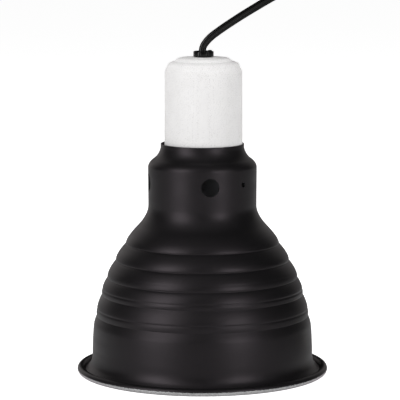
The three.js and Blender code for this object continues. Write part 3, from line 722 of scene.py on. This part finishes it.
def shade():
    """The spun shade, with how far each point lies inside the painted area."""
    outside = sheet_outside()
    bead = arc((BEAD_R, BEAD_Z), BEAD_RADIUS, BEAD_FROM, BEAD_TO, 40)
    lip = arc((LIP_R, LIP_Z), LIP_RADIUS, 180, 0, 8)
    under = SEAT_Z - SHEET
    seat = [(SEAT_EDGE, under), (SEAT_HOLE, under), (SEAT_HOLE, SEAT_Z), (SEAT_WALL, SEAT_Z)]
    coats = [(p, PAINTED) for p in outside]
    for k, point in enumerate(bead):
        angle = BEAD_FROM + (BEAD_TO - BEAD_FROM) * k / (len(bead) - 1)
        point.y = max(point.y, 0.0)
        coats.append((point, radians(angle - PAINT_ENDS_AT) * BEAD_RADIUS))
    coats += [(p, BARE) for p in reversed(sheet_inside(outside[::3]))]
    coats += [(Vector(p), BARE) for p in seat]
    coats += [(p, PAINTED if k > 1 else WORN) for k, p in enumerate(lip)]
    obj = build("spun_shade", turned([tuple(p) for p, _ in coats], 192))
    tools = []
    for number, (count, radius, z, first, step) in enumerate(HOLES):
        for k in range(count):
            turn = place(turn=first + k * step) @ place(z=z) @ place(turn=90, axis="X")
            tools.append(build(f"hole_{number}_{k}", cylinder(radius, 20, 40), turn))
    combine(obj, tools)
    nearest = kdtree.KDTree(len(coats))
    for k, (point, _) in enumerate(coats):
        nearest.insert((point.x, point.y, 0), k)
    nearest.balance()
    coat = obj.data.attributes.new("coat", "FLOAT", "POINT")
    values = []
    for vertex in obj.data.vertices:
        radius = hypot(vertex.co.x, vertex.co.y) / MM
        values.append(coats[nearest.find((radius, vertex.co.z / MM, 0))[1]][1])
    coat.data.foreach_set("value", values)
    finished(obj, "black_paint", "reflector_shade")


# ---- porcelain and socket ----
def housing():
    """The porcelain cap with its crowned top, and its screw columns inside."""
    bottom = SEAT_Z + GAP
    handles = [Vector(p) for p in ((CREASE_R, CREASE_Z), (CREASE_R - 0.2, CREASE_Z + 1.2),
                                   (CREASE_R - 1.1, CROWN_FOOT - 0.5), (CROWN_R + 0.4, CROWN_FOOT))]
    shoulder = [tuple(bezier(*handles, k / 14)) for k in range(15)]
    profile = [
        (CHAMBER_R, bottom, 0.2), (HOUSING_R, bottom, 0.5), (HOUSING_TOP_R, HOUSING_WALL_TOP, 0.05),
        (HOUSING_TOP_R - 0.15, HOUSING_WALL_TOP + 0.15, 0.05),
        (HOUSING_TOP_R - 0.35, HOUSING_WALL_TOP + 1.4, 0.5), *[(r, z, 0.1) for r, z in shoulder],
        (CROWN_R, CROWN_FOOT + 0.4, 0.2), (CROWN_R - 0.7, CROWN_TOP - 0.9, 0.6),
        (CROWN_R - 1.8, CROWN_TOP - 0.25, 0.6), (CROWN_R - 3.4, CROWN_TOP, 0.8), (7.4, CROWN_TOP, 0.3),
        (7.0, CROWN_BOSS, 0.3), (CORD_HOLE, CROWN_BOSS, 0.4), (CORD_HOLE, CHAMBER_Z, 0.3),
        (CHAMBER_R - 2.5, CHAMBER_Z, 0.6), (CHAMBER_R, CHAMBER_Z - 2.5, 0.6),
    ]
    cap = build("porcelain_cap", turned(softened(profile, 0.3), 160))
    column_z = INSERT_TOP + GAP
    sides = (-COLUMN_Y, COLUMN_Y)
    columns = [build("column", cylinder(COLUMN_R, column_z, CHAMBER_Z + 1, y=y)) for y in sides]
    combine(cap, columns, "UNION")
    bores = [cylinder(SCREW_BORE_R, column_z - 1, SCREW_BORE_TOP, y=y) for y in sides]
    combine(cap, [build("bore", bore) for bore in bores])
    finished(seated(cap), "porcelain", "porcelain_housing")


def insert():
    """The inner porcelain body, its neck threaded for the retaining ring."""
    thread_top, thread_bottom, pitch, depth = 124.6, 113.0, 1.5, 0.35

    def threaded(r, z, angle):
        if abs(r - NECK_R) < 0.02 and thread_bottom < z < thread_top:
            fade = min(z - thread_bottom, thread_top - z, 1.0)
            wave = 0.5 - 0.5 * cos(2 * pi * (z / pitch) - angle)
            return r - depth * wave * fade, z
        return r, z

    neck = [(NECK_R, MOUTH_Z + 0.5 + 0.2 * k, 0) for k in range(1, 62)]
    profile = [
        (0, INSERT_FLOOR + RECESS_DEPTH, 0), (RECESS_R, INSERT_FLOOR + RECESS_DEPTH, 0.3),
        (RECESS_R, INSERT_FLOOR, 0.3), (BORE_R, INSERT_FLOOR, 0.3), (BORE_R, MOUTH_Z + 1, 0.5),
        (BORE_R + 0.8, MOUTH_Z, 0.3), (NECK_R - 0.5, MOUTH_Z, 0.3), *neck, (NECK_R, SHOULDER_Z, 0.3),
        (INSERT_R, SHOULDER_Z, 0.4), (INSERT_R, INSERT_TOP, 0.4), (0, INSERT_TOP, 0),
    ]
    obj = build("porcelain_insert", turned(softened(profile, 0.3), 120, threaded))
    holes = [
        (1.5, INSERT_FLOOR, CONTACT_RIVET_X, 0), (1.5, INSERT_FLOOR - 1, SHELL_RIVET_X, 0),
        (SCREW_BORE_R, INSERT_FLOOR - 1, 0, -COLUMN_Y), (SCREW_BORE_R, INSERT_FLOOR - 1, 0, COLUMN_Y),
        (1.7, INSERT_TOP - 5, -TERMINAL_X, 0), (1.7, INSERT_TOP - 5, TERMINAL_X, 0),
    ]
    combine(obj, [build("hole", cylinder(r, z, INSERT_TOP + 1, x, y, 32)) for r, z, x, y in holes])
    finished(seated(obj), "porcelain", "socket_insert")


def screw_shell():
    """The medium screw shell, rolled with a true helix."""
    middle, swing = (CREST + TROUGH) / 2, (CREST - TROUGH) / 2
    rows = 110
    top = SHELL_TOP - 1.0

    def rolled(r, z, angle):
        if r > CREST - 1.5 and z < top:
            fade = smoothstep(top - z, 0.0, 1.2)
            wave = swing * cos(2 * pi * z / PITCH - angle)
            return r + wave * fade, z
        return r, z

    outer = [(middle, top - (top - SHELL_BOTTOM) * k / rows, 0) for k in range(rows + 1)]
    inner = [(r - SHELL_WALL, z, 0) for r, z, _ in reversed(outer)]
    profile = [
        (BASE_HOLE, SHELL_TOP, 0.1), (middle - 0.2, SHELL_TOP, 0.4), *outer, *inner,
        (middle - 0.7, SHELL_TOP - SHELL_WALL, 0.2), (BASE_HOLE, SHELL_TOP - SHELL_WALL, 0.1),
    ]
    obj = build("rolled_shell", turned(softened(profile, 0.1), 120, rolled))
    holes = [(1.6, SHELL_RIVET_X, 0), (1.9, 0, -COLUMN_Y), (1.9, 0, COLUMN_Y)]
    combine(obj, [build("hole", cylinder(r, SHELL_TOP - 2, SHELL_TOP + 2, x, y, 32)) for r, x, y in holes])
    finished(seated(obj), "brass", "screw_shell")


def centre_contact():
    """The spring leaf, folded back under itself to a nose on the lamp's axis."""
    points = [
        (-5.6, 0, 145.4), (-2.5, 0, 145.4), (1.0, 0, 145.4), (3.8, 0, 144.4), (4.4, 0, 142.2),
        (2.8, 0, 140.0), (0.0, 0, 139.2), (-2.8, 0, 139.9),
    ]
    section = rounded_rectangle(-2.5, -0.25, 2.5, 0.25, 0.2, 3)
    leaf = sweep("contact_leaf", route(points, [(0, (0, 1, 0)), (7, (0, 1, 0))], 0, 0.4), section)
    combine(leaf, [build("hole", cylinder(1.5, 144, 147, CONTACT_RIVET_X, 0, 32))])
    finished(seated(leaf), "spring_brass", "centre_contact", body="contact")


def headed(name, shank, head, start, end, thickness, x, y, slot=None):
    """A pan-head screw or a rivet from its head's seat to its end, with a slot of given depth."""
    up = copysign(1, end - start)
    profile = [
        (0, end, 0), (shank, end, 0.2), (shank, start, 0.1), (head, start, 0.2),
        (head, start - up * thickness * 0.5, 0.5), (head * 0.7, start - up * thickness, 0.8),
        (0, start - up * thickness, 0),
    ]
    obj = build(name, turned(softened(profile, 0.1, 4), 48), place(x, y))
    if slot:
        face = start - up * thickness
        low = (x - head - 1, y - 0.4, face - slot)
        high = (x + head + 1, y + 0.4, face + slot)
        combine(obj, [build("slot", rounded_block(low, high, 0.05, 2))])
    return obj


def fasteners():
    """Screws and rivets of the lampholder and the switch."""
    seam = SHELL_TOP - SHELL_WALL - GAP
    head_z = INSERT_TOP + GAP + 0.8 + GAP
    screw_z = head_z + 0.6 + GAP
    for name, side in (("front", -1), ("back", 1)):
        obj = headed(f"screw_{name}", 1.5, 2.6, seam, 163, 1.8, 0, side * COLUMN_Y, 0.8)
        finished(seated(obj), "zinc_steel", f"housing_screw_{name}")
    for name, side, slot in (("hot", -1, "brass"), ("neutral", 1, "zinc_steel")):
        obj = headed(f"screw_{name}", 1.4, 2.5, screw_z, INSERT_TOP - 4.5, 1.7, side * TERMINAL_X, 0, 0.7)
        finished(seated(obj), slot, f"terminal_screw_{name}")
    for name, start, x in (("contact", 144.8, CONTACT_RIVET_X), ("shell", seam, SHELL_RIVET_X)):
        rivet = headed(f"rivet_{name}", RIVET_SHANK, RIVET_HEAD, start, head_z, 0.5, x, 0)
        closing = headed("closing", RIVET_SHANK, RIVET_HEAD, head_z, start + 1, 0.6, x, 0)
        combine(rivet, [closing], "UNION")
        finished(seated(rivet), "brass", f"{name}_rivet")
    sink = SWITCH_HEIGHT - 1.5 - 1.4
    obj = headed("screw_switch", 1.1, 2.5, sink, 3.5, 1.2, SWITCH_X + SWITCH_SCREW_X, SWITCH_Y, 0.5)
    finished(obj, "zinc_steel", "switch_screw")


def retaining_ring():
    """The clamping ring with its spanner notches, and the fibre washer above it."""
    profile = [
        (RING_INNER, RING_BOTTOM, 0.3), (RING_OUTER, RING_BOTTOM, 0.5), (RING_OUTER, RING_TOP, 0.3),
        (RING_INNER, RING_TOP, 0.3),
    ]
    ring = build("clamp_ring", turned(softened(profile, 0.3), 144))
    tools = []
    for k in range(RING_NOTCHES):
        low = (RING_OUTER - NOTCH_DEPTH, -NOTCH_HALF_WIDTH, RING_BOTTOM - 1)
        high = (RING_OUTER + 1, NOTCH_HALF_WIDTH, RING_TOP - ABOVE_NOTCH)
        turn = place(turn=360 * k / RING_NOTCHES)
        tools.append(build(f"notch_{k}", rounded_block(low, high, 0.4), turn))
    combine(ring, tools)
    finished(seated(ring), "aluminium", "retaining_ring", body="ring")
    low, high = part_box("fibre_washer")
    bottom, top = low.z / MM, high.z / MM
    profile = [(RING_INNER, bottom), (RING_OUTER, bottom), (RING_OUTER, top), (RING_INNER, top)]
    washer = build("washer", turned(softened(profile, 0.15)))
    finished(seated(washer), "fibre", "fibre_washer", body="washer")


# ---- strain relief ----
def notch_for_wedge(bottom, top):
    """A cutter for the notch in the head's front, its mouth flared into rounded edges."""
    half, floor, reach = 2.3, -3.9, 1.6
    meets = acos(half / HEAD_R)
    corner = Vector((half, -HEAD_R * sin(meets)))
    outside = corner + Vector((sin(meets), cos(meets))) * reach
    right = [(half, floor, 0), (corner.x, corner.y, 0.6), (outside.x, outside.y, 0), (outside.x, -8, 0)]
    left = [(-x, y, rounding) for x, y, rounding in reversed(right)]
    outline = softened(right + left, 0.0, 5)
    return skin([[(x, y, z) for x, y in outline] for z in (bottom, top)])


def strain_relief():
    """Nylon bushing: a stem, a round head notched in front for its wedge, and a raised latch."""
    bottom = CROWN_BOSS + GAP
    top = bottom + HEAD_HEIGHT
    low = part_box("strain_relief_body")[0].z / MM
    profile = [
        (0, low, 0), (STEM_TIP_R, low, 0.2), (BARB_R, BARB_BOTTOM, 0.3), (BARB_R, BARB_TOP, 0.2),
        (STEM_R, BARB_TOP + 0.3, 0.1), (STEM_R, bottom, 0.1), (HEAD_R, bottom, 0.45),
        (HEAD_R, top, 0.6), (0, top, 0),
    ]
    body = build("bushing", turned(softened(profile, 0.2, 5)))
    knob = build("knob", rounded_block((2.5, -0.6, top - 1.0), (4.6, 2.6, top + 0.5), 0.35))
    combine(body, [knob], "UNION")
    turn = degrees(atan2(WIDTH_AT_GLAND[1], WIDTH_AT_GLAND[0]))
    wide, thick = CORD_HALF + GAP, CORE_R + GAP
    passage = build("passage", rounded_block((-wide, -thick, 140), (wide, thick, 200), thick * 0.6),
                    place(x=-HOLDER_X, turn=turn))
    combine(body, [build("notch", notch_for_wedge(bottom - 0.01, top + 2)), passage])
    finished(seated(body), "black_nylon", "strain_relief_body")
    wedge = build("wedge", rounded_block((-2.0, -5.5, bottom + 0.1), (2.0, -4.2, top - 0.25), 0.42))
    finished(seated(wedge), "black_nylon", "strain_relief_wedge")


def inner_wiring():
    """The two leads inside the chamber, from the split cord to their lugs."""
    points = [
        (0.69, 1.13, 167.9), (0.69, 1.13, 165.6), (0.72, 1.2, 163.2), (-0.6, 3.3, 161.0),
        (-5.1, 6.6, 159.7), (-9.0, 10.2, 158.6), (-13.0, 11.2, 157.2), (-14.2, 9.4, 156.0),
        (-TERMINAL_X, 6.95, 155.7),
    ]
    circle = [tuple(p) for p in arc((0, 0), WIRE_R, 0, 345, 23)]
    widths = [(0, (1, 0, 0.01)), (8, (1, 0, 0.01))]
    for name, turn, slot in (("hot", 1, "black_pvc"), ("neutral", -1, "white_pvc")):
        line = [(turn * x + (HOLDER_X if z < LEADS_PART_Z else 0), turn * y, z) for x, y, z in points]
        lead = sweep(f"lead_wire_{name}", route(line, widths, 0, 0.8), circle)
        finished(lead, slot, f"lead_{name}")


# ---- inline switch ----
def switch_outline():
    """Counter-clockwise outline of the switch about its centre."""
    half, wide, narrow = SWITCH_HALF, SWITCH_WIDE, SWITCH_NARROW
    quarter = [Vector(p) for p in ((half, narrow), (half * 0.75, wide), (half * 0.45, wide), (0, wide))]
    top = [bezier(*quarter, k / 16) for k in range(17)]
    back = [Vector((-p.x, p.y)) for p in reversed(top[:-1])]
    upper = top + back
    return [tuple(p) for p in upper] + [(-p.x, -p.y) for p in upper]


def inline_switch():
    """Two shells screwed together round a thumbwheel."""
    middle = SWITCH_HEIGHT / 2
    at = place(SWITCH_X, SWITCH_Y)
    outline = [(x, y, 1.2) for x, y in switch_outline()]
    outline = softened(outline, 0.3, 2)
    halves = {
        "base": (0.0, middle - GAP / 2, 2.2, 0.35),
        "cover": (middle + GAP / 2, SWITCH_HEIGHT, 0.35, 3.0),
    }
    room = WHEEL_THICKNESS / 2 + GAP
    for name, (bottom, top, low_round, high_round) in halves.items():
        shell = build(f"switch_shell_{name}", pillow(outline, bottom, top, low_round, high_round, 7), at)
        channel = rounded_block((-60, -CHANNEL_HALF_WIDTH, middle - CHANNEL_HALF_HEIGHT),
                                (60, CHANNEL_HALF_WIDTH, middle + CHANNEL_HALF_HEIGHT), 1.2)
        tools = [
            build("wheel_room", cylinder(WHEEL_R + 0.6, middle - room, middle + room, sides=96), at),
            build("channel", channel, at),
            build("screw_hole", cylinder(1.5, 3, SWITCH_HEIGHT + 1, SWITCH_SCREW_X), at),
            build("sink", cylinder(SINK_R, SWITCH_HEIGHT - SINK_DEPTH, SWITCH_HEIGHT + 1, SWITCH_SCREW_X),
                  at),
        ]
        combine(shell, tools)
        if name == "base":
            axle = build("axle", cylinder(WHEEL_AXLE, 4, middle + room - 0.1), at)
            combine(shell, [axle], "UNION")
        finished(shell, "black_nylon", f"switch_{name}")

    def toothed(r, z, angle):
        depth = 0.45 * (1 - cos(WHEEL_TEETH * angle)) * (r > WHEEL_R - 2)
        return r - depth, z

    low, high = middle - WHEEL_THICKNESS / 2, middle + WHEEL_THICKNESS / 2
    profile = [
        (WHEEL_AXLE + GAP, low, 0.2), (WHEEL_R, low, 0.7), (WHEEL_R, high, 0.7),
        (WHEEL_AXLE + GAP, high, 0.2),
    ]
    wheel = build("thumbwheel", turned(softened(profile, 0.3, 4), WHEEL_TEETH * 10, toothed), at)
    finished(wheel, "black_nylon", "switch_thumbwheel", body="thumbwheel")
    return ["switch_shell_base", "switch_shell_cover", "thumbwheel", "screw_switch",
            "switch_contact_in", "switch_contact_out"]


# ---- plug, tie ----
def superellipse(half_width, half_height, power):
    """Outline between an ellipse, at power 2, and a rectangle, at higher powers."""
    outline = []
    count = 48
    for k in range(count):
        angle = 2 * pi * k / count
        c, s = cos(angle), sin(angle)
        outline.append((half_width * copysign(abs(c) ** (2 / power), c),
                        half_height * copysign(abs(s) ** (2 / power), s)))
    return outline


def plug():
    """The moulded plug: a ribbed boot that flares into a body with finger ridges, and its blades."""
    foot, way = tail_frame()
    at = place(*foot, turn=degrees(atan2(way.y, way.x)))
    face = BOOT + PLUG_LENGTH + 1.8
    rings = []
    steps = 150
    for k in range(steps + 1):
        x = face * k / steps
        flare = smoothstep(x, BOOT - 1.5, BOOT + 13)
        wide = 3.4 + 1.2 * x / face + (PLUG_WIDTH / 2 - 4.2) * flare
        tall = 3.4 + 1.2 * x / face + (PLUG_HEIGHT / 2 - 4.4) * flare
        power = 2 + 2.6 * flare
        if x < BOOT - 1:
            groove = 0.55 * smoothstep(sin(2 * pi * x / BOOT_RIB), 0.2, 0.8)
            wide, tall = wide - groove, tall - groove * 0.8
        if FINGER_RIDGES[0] < x < FINGER_RIDGES[1]:
            tall -= 0.35 * smoothstep(sin(2 * pi * x / FINGER_RIDGE), -0.2, 0.6)
        end = max(0.0, x - (face - 1.4)) / 1.4
        shrink = 1.4 * (1 - sqrt(max(0.0, 1 - end * end)))
        rings.append([(x, y, z) for y, z in superellipse(wide - shrink, tall - shrink, power)])
    body = build("moulded_plug", skin(rings), at)
    slots = []
    names = ["moulded_plug"]
    for name, side in (("hot", -1), ("neutral", 1)):
        tall, thin = BLADE_WIDTHS[name] / 2, BLADE_THICKNESS / 2
        y = side * BLADE_SPACING / 2
        low = (face - BLADE_ROOT - GAP, y - thin - GAP / 3, -tall - GAP / 3)
        high = (face + 2, y + thin + GAP / 3, tall + GAP / 3)
        slots.append(build("slot", rounded_block(low, high, 0.1, 2), at))
        outline = softened([
            (face - BLADE_ROOT, -tall, 0.1), (face + BLADE_LENGTH - 2, -tall, 1.0),
            (face + BLADE_LENGTH, -tall + 1.6, 1.0), (face + BLADE_LENGTH, tall - 1.6, 1.0),
            (face + BLADE_LENGTH - 2, tall, 1.0), (face - BLADE_ROOT, tall, 0.1)], 0.5)
        upright = place(y=y) @ place(turn=90, axis="X")
        blade = build(f"blade_{name}", pillow(outline, -thin, thin, 0.2, 0.2, 3), at @ upright)
        eye = cylinder(1.5, -3, 3, face + BLADE_LENGTH - 4.5, 0, 32)
        combine(blade, [build("eye", eye, at @ upright)])
        finished(blade, "brass", f"plug_blade_{name}")
        names.append(blade.name)
    combine(body, slots)
    finished(body, "black_pvc", "plug_body")
    return names


def coil_tie():
    """A nylon tie round all the turns, with its ratchet head on top."""
    low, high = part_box("coil_tie")
    x = COIL_X
    near, far = low.y / MM, high.y / MM
    bottom, top = low.z / MM, high.z / MM
    half = (high.x - low.x) / MM / 2
    outer = rounded_rectangle(near, bottom, far, top, 2.6, 8)
    inner = [tuple(p) for p in inset(outer, TIE_THICKNESS)]
    edge = half - TIE_ROUNDING
    rings = []
    for outline, way in ((outer, 1), (inner, -1)):
        for across, grow in ((-half, TIE_ROUNDING), (-edge, 0.0), (edge, 0.0), (half, TIE_ROUNDING)):
            rings.append([(x + way * across, p.x, p.y) for p in inset(outline, way * grow)])
    band = build("tie_band", skin(rings, wrap=True))
    middle = (near + far) / 2
    head = rounded_block((x - 4, middle - 3.5, top - 0.9), (x + 4, middle + 3.5, top + 3.6), 0.7)
    combine(band, [build("tie_head", head)], "UNION")
    finished(band, "black_nylon", "coil_tie")
    return [band.name]


def carried_over():
    """CAD nodes whose shapes are kept, with their materials."""
    for slot in frame["record"]["subparts"]:
        node = frame["nodes"][slot["node"]]
        if not node.hide_render:
            node.data.materials.clear()
            node.data.materials.append(MATERIALS[slot["material_slot"]])


# ---- studio ----
def light(name, azimuth, elevation, distance, size, power, reaches):
    """A soft panel at an azimuth from the front towards +X, turned to the lamp."""
    data = bpy.data.lights.new(name, "AREA")
    data.shape = "RECTANGLE"
    data.size, data.size_y = size[0] * MM, size[1] * MM
    data.energy = power
    if "back" in name:
        data.color = WARM
    obj = added(name, data)
    turn, lift = radians(azimuth), radians(elevation)
    back = Vector((sin(turn) * cos(lift), -cos(turn) * cos(lift), sin(lift)))
    aim(obj, Vector((0, 0, PANELS_FACE_Z)), back, distance)
    obj.visible_camera = False
    obj.visible_diffuse, obj.visible_glossy = reaches


def studio():
    """Soft panels, a pale floor and a dim surrounding that the camera sees as white."""
    for panel in PANELS:
        light(*panel)

    floor = bpy.data.meshes.new("floor")
    corners = [(-1, -1), (1, -1), (1, 1), (-1, 1)]
    places = [Vector((x * FLOOR_REACH, y * FLOOR_REACH, FLOOR_Z)) * MM for x, y in corners]
    floor.from_pydata(places, [], [(0, 1, 2, 3)])
    finish = Finish("pale_floor", (0.6, 0.6, 0.6), 0.8, Specular_IOR_Level=0.0)
    finish.put("Emission Color", (1, 1, 1, 1))
    seen = finish.node("LightPath").outputs["Is Camera Ray"]
    place_on_floor = finish.node("NewGeometry").outputs["Position"]
    reach_out = finish.node("VectorMath", place_on_floor, operation="LENGTH").outputs["Value"]
    open_floor = finish.math("GREATER_THAN", reach_out, BEAD_R * MM)
    glow = finish.math("MULTIPLY", finish.remap(seen, 0, 1, *FLOOR_GLOW), open_floor)
    finish.put("Emission Strength", glow)
    # Light comes in under the shade, and the floor shows nothing from below, so that the inside can be seen
    from_above = finish.math("SUBTRACT", 1.0, finish.node("NewGeometry").outputs["Backfacing"])
    solid = finish.math("MAXIMUM", open_floor, seen)
    finish.put("Alpha", finish.math("MULTIPLY", solid, from_above))
    floor.materials.append(finish.material)
    added("floor", floor)

    world = bpy.data.worlds.new("studio")
    bpy.context.scene.world = world
    world.use_nodes = True
    tree = world.node_tree
    background = tree.nodes["Background"]
    background.inputs["Color"].default_value = (1, 1, 1, 1)
    seen = tree.nodes.new("ShaderNodeLightPath").outputs["Is Camera Ray"]
    level = tree.nodes.new("ShaderNodeMapRange")
    tree.links.new(seen, level.inputs["Value"])
    level.inputs["To Min"].default_value, level.inputs["To Max"].default_value = WORLD_GLOW
    tree.links.new(level.outputs["Result"], background.inputs["Strength"])
    bpy.context.scene.view_settings.view_transform = "Standard"


camera()
switch_pieces = inline_switch()
fasteners()
plug_pieces = plug()
tie_pieces = coil_tie()
cords()
shade()
housing()
insert()
screw_shell()
centre_contact()
retaining_ring()
strain_relief()
inner_wiring()
carried_over()
studio()
